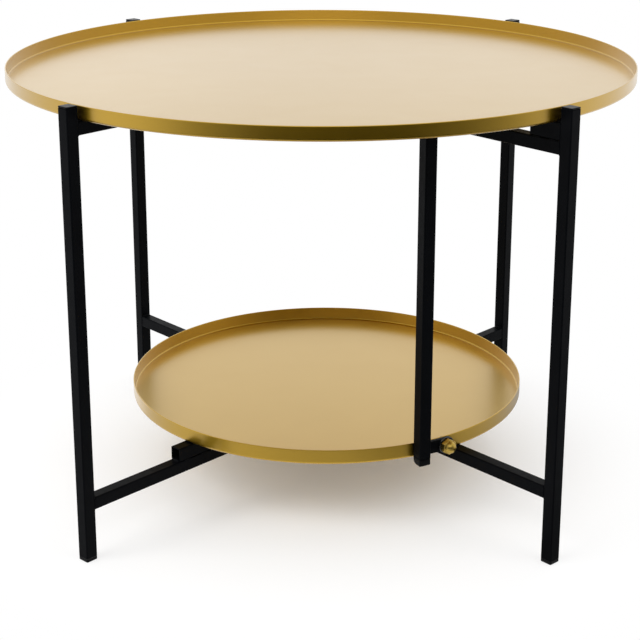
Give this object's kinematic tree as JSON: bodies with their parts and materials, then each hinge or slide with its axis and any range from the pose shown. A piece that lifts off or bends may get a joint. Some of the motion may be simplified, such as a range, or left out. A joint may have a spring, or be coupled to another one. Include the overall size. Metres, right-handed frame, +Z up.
{
  "type": "two-tier coffee table",
  "caption": "Two-tier round coffee table: a large lift-off tray over a smaller bolted tray, on a black square-tube frame that folds about its centre.",
  "frame": {"origin": "on the floor, on the centre pivot's axis, under the middle of the upper tray", "axes": "+Z up, the front of the table faces -Y, +X to the right seen from the front"},
  "size_m": [0.6, 0.6, 0.4183],
  "materials": {
    "black_powder_coat": "matte black powder coat on steel tube",
    "gold_tray_finish": "satin gold finish on pressed steel sheet",
    "brass": "polished",
    "zinc_plated_steel": "dark zinc plate",
    "black_plastic": "moulded, fine texture"
  },
  "bodies": {
    "outer_frame": {"outer_front_leg": "black_powder_coat", "outer_back_leg": "black_powder_coat", "outer_upper_rail": "black_powder_coat", "outer_lower_rail": "black_powder_coat", "outer_front_rest": "black_powder_coat", "outer_back_rest": "black_powder_coat", "outer_front_cap": "black_plastic", "outer_back_cap": "black_plastic", "outer_front_foot": "black_plastic", "outer_back_foot": "black_plastic", "upper_pivot_bolt": "zinc_plated_steel", "upper_pivot_spacer": "black_plastic", "upper_pivot_washer": "zinc_plated_steel", "upper_pivot_nut": "zinc_plated_steel", "lower_pivot_bolt": "zinc_plated_steel", "lower_pivot_spacer": "black_plastic", "lower_pivot_washer": "zinc_plated_steel", "lower_pivot_nut": "zinc_plated_steel"},
    "inner_frame": {"inner_front_leg": "black_powder_coat", "inner_back_leg": "black_powder_coat", "inner_upper_rail": "black_powder_coat", "inner_lower_rail": "black_powder_coat", "inner_front_rest": "black_powder_coat", "inner_back_rest": "black_powder_coat", "inner_front_cap": "black_plastic", "inner_back_cap": "black_plastic", "inner_front_foot": "black_plastic", "inner_back_foot": "black_plastic", "stay_post": "black_powder_coat", "stay_upper_arm": "black_powder_coat", "stay_lug": "black_powder_coat", "stay_post_plug": "black_plastic", "stay_bolt": "zinc_plated_steel", "stay_washer": "zinc_plated_steel", "stay_cap_nut": "brass", "lower_tray": "gold_tray_finish"},
    "upper_tray": {"upper_tray": "gold_tray_finish"}
  },
  "joints": [
    {"name": "fold", "type": "hinge", "parent": "outer_frame", "child": "inner_frame", "pos_m": [0, 0, 0.2], "axis": [0, 0, 1], "range_deg": [0, 90]},
    {"name": "upper_tray_lift", "type": "slide", "parent": "outer_frame", "child": "upper_tray", "axis": [0, 0, 1], "range_m": [0, 0.15]}
  ]
}
